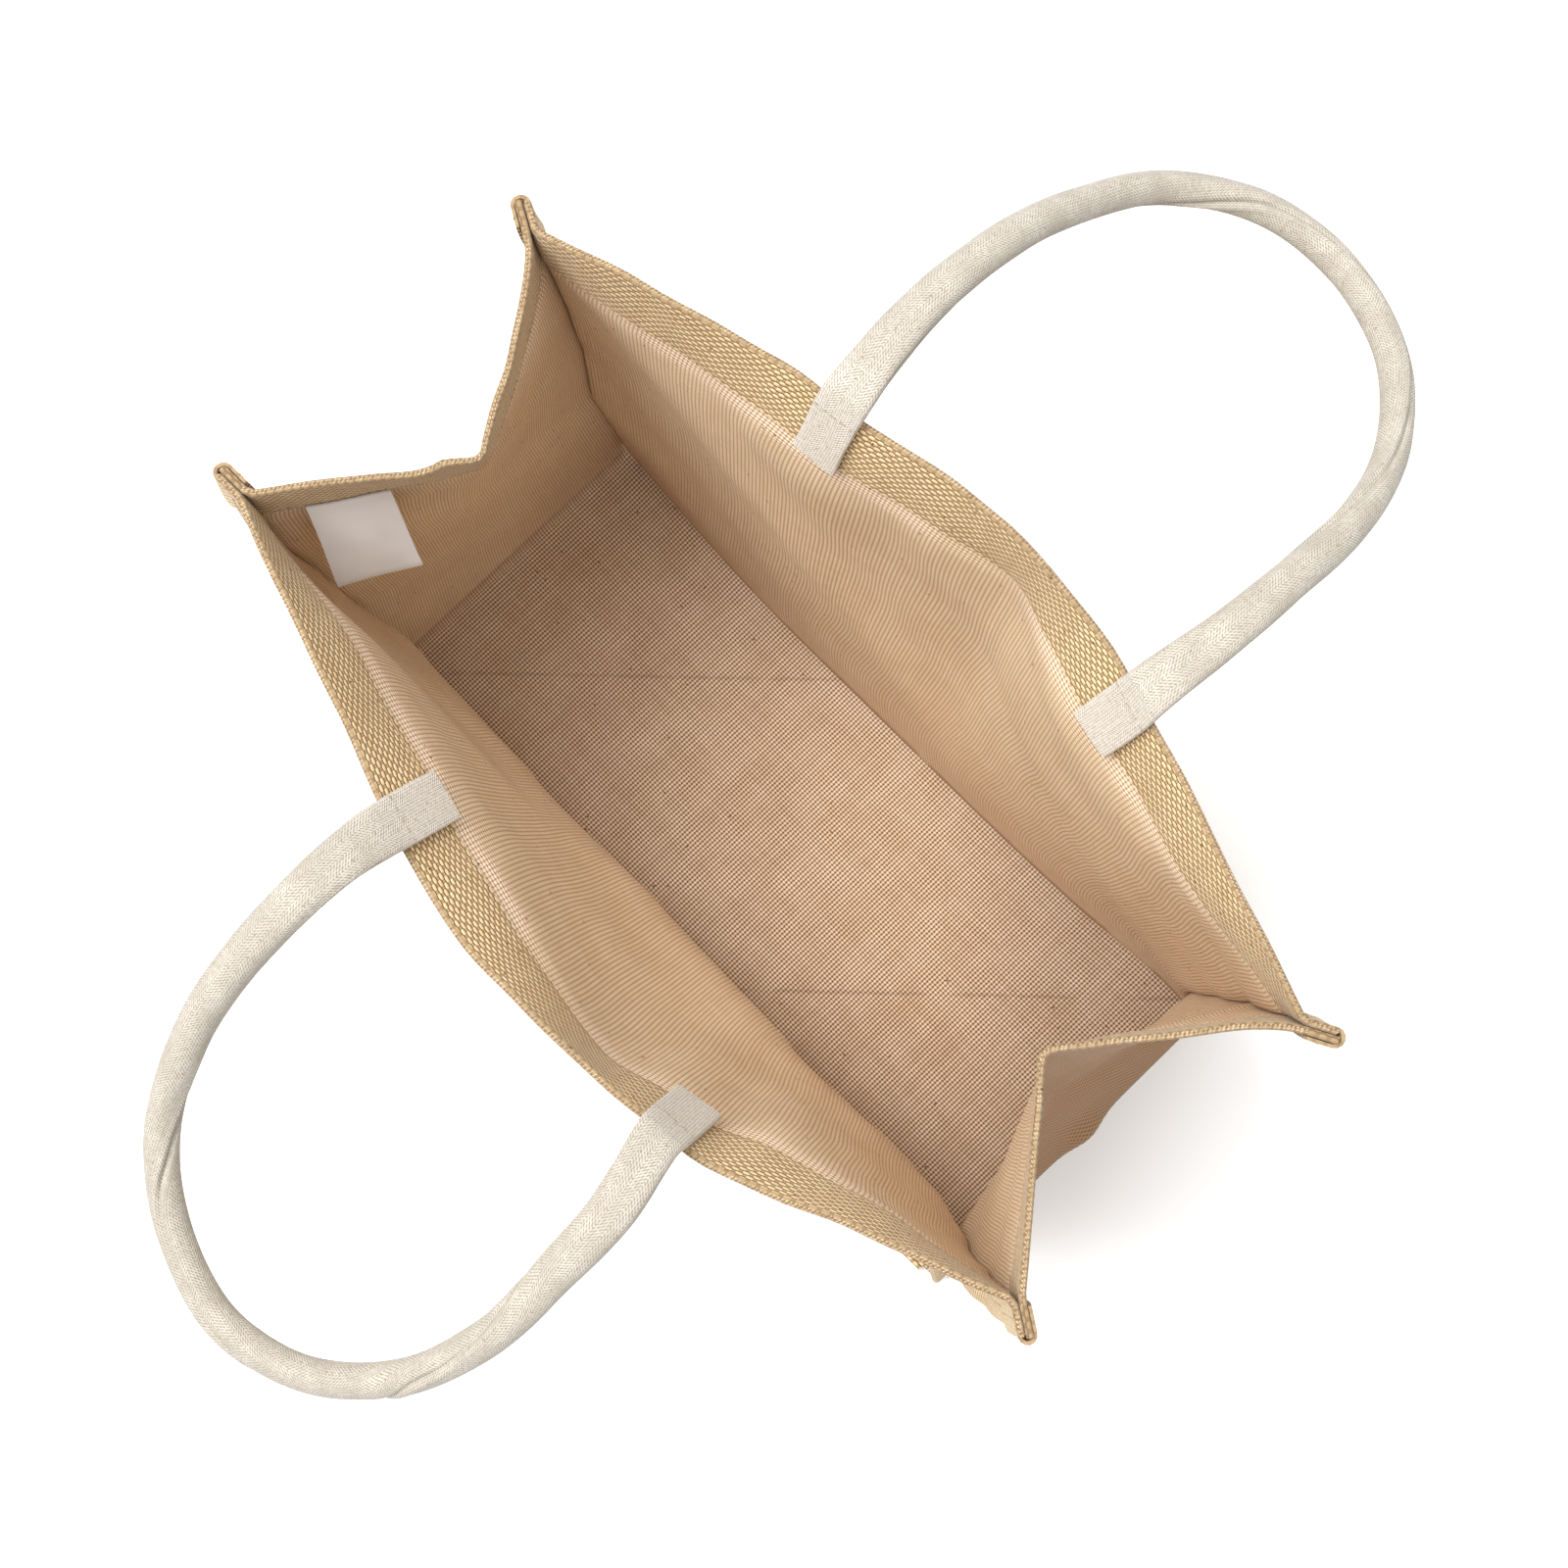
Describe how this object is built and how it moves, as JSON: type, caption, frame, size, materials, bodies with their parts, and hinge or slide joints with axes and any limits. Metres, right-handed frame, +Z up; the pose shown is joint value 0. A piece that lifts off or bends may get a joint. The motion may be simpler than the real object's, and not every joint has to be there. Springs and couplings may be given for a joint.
{
  "type": "burlap shopping bag",
  "caption": "Open jute shopping bag with folded-in gusset ends, a wide hem round the rim and rolled cotton handles.",
  "frame": {"origin": "middle of the base's underside, on the surface the bag stands on", "axes": "+X along the bag towards the end without the label, +Y towards the back panel, +Z up"},
  "size_m": [0.4355, 0.5996, 0.3446],
  "materials": {
    "jute_panel": "coarse open weave",
    "jute_strip": "coarse open weave",
    "cotton_webbing": "fine herringbone webbing",
    "label_cloth": "smooth woven tape"
  },
  "bodies": {
    "root": {"gusset_strip": "jute_strip", "front_panel": "jute_panel", "back_panel": "jute_panel", "front_handle": "cotton_webbing", "back_handle": "cotton_webbing", "label": "label_cloth"}
  },
  "joints": []
}
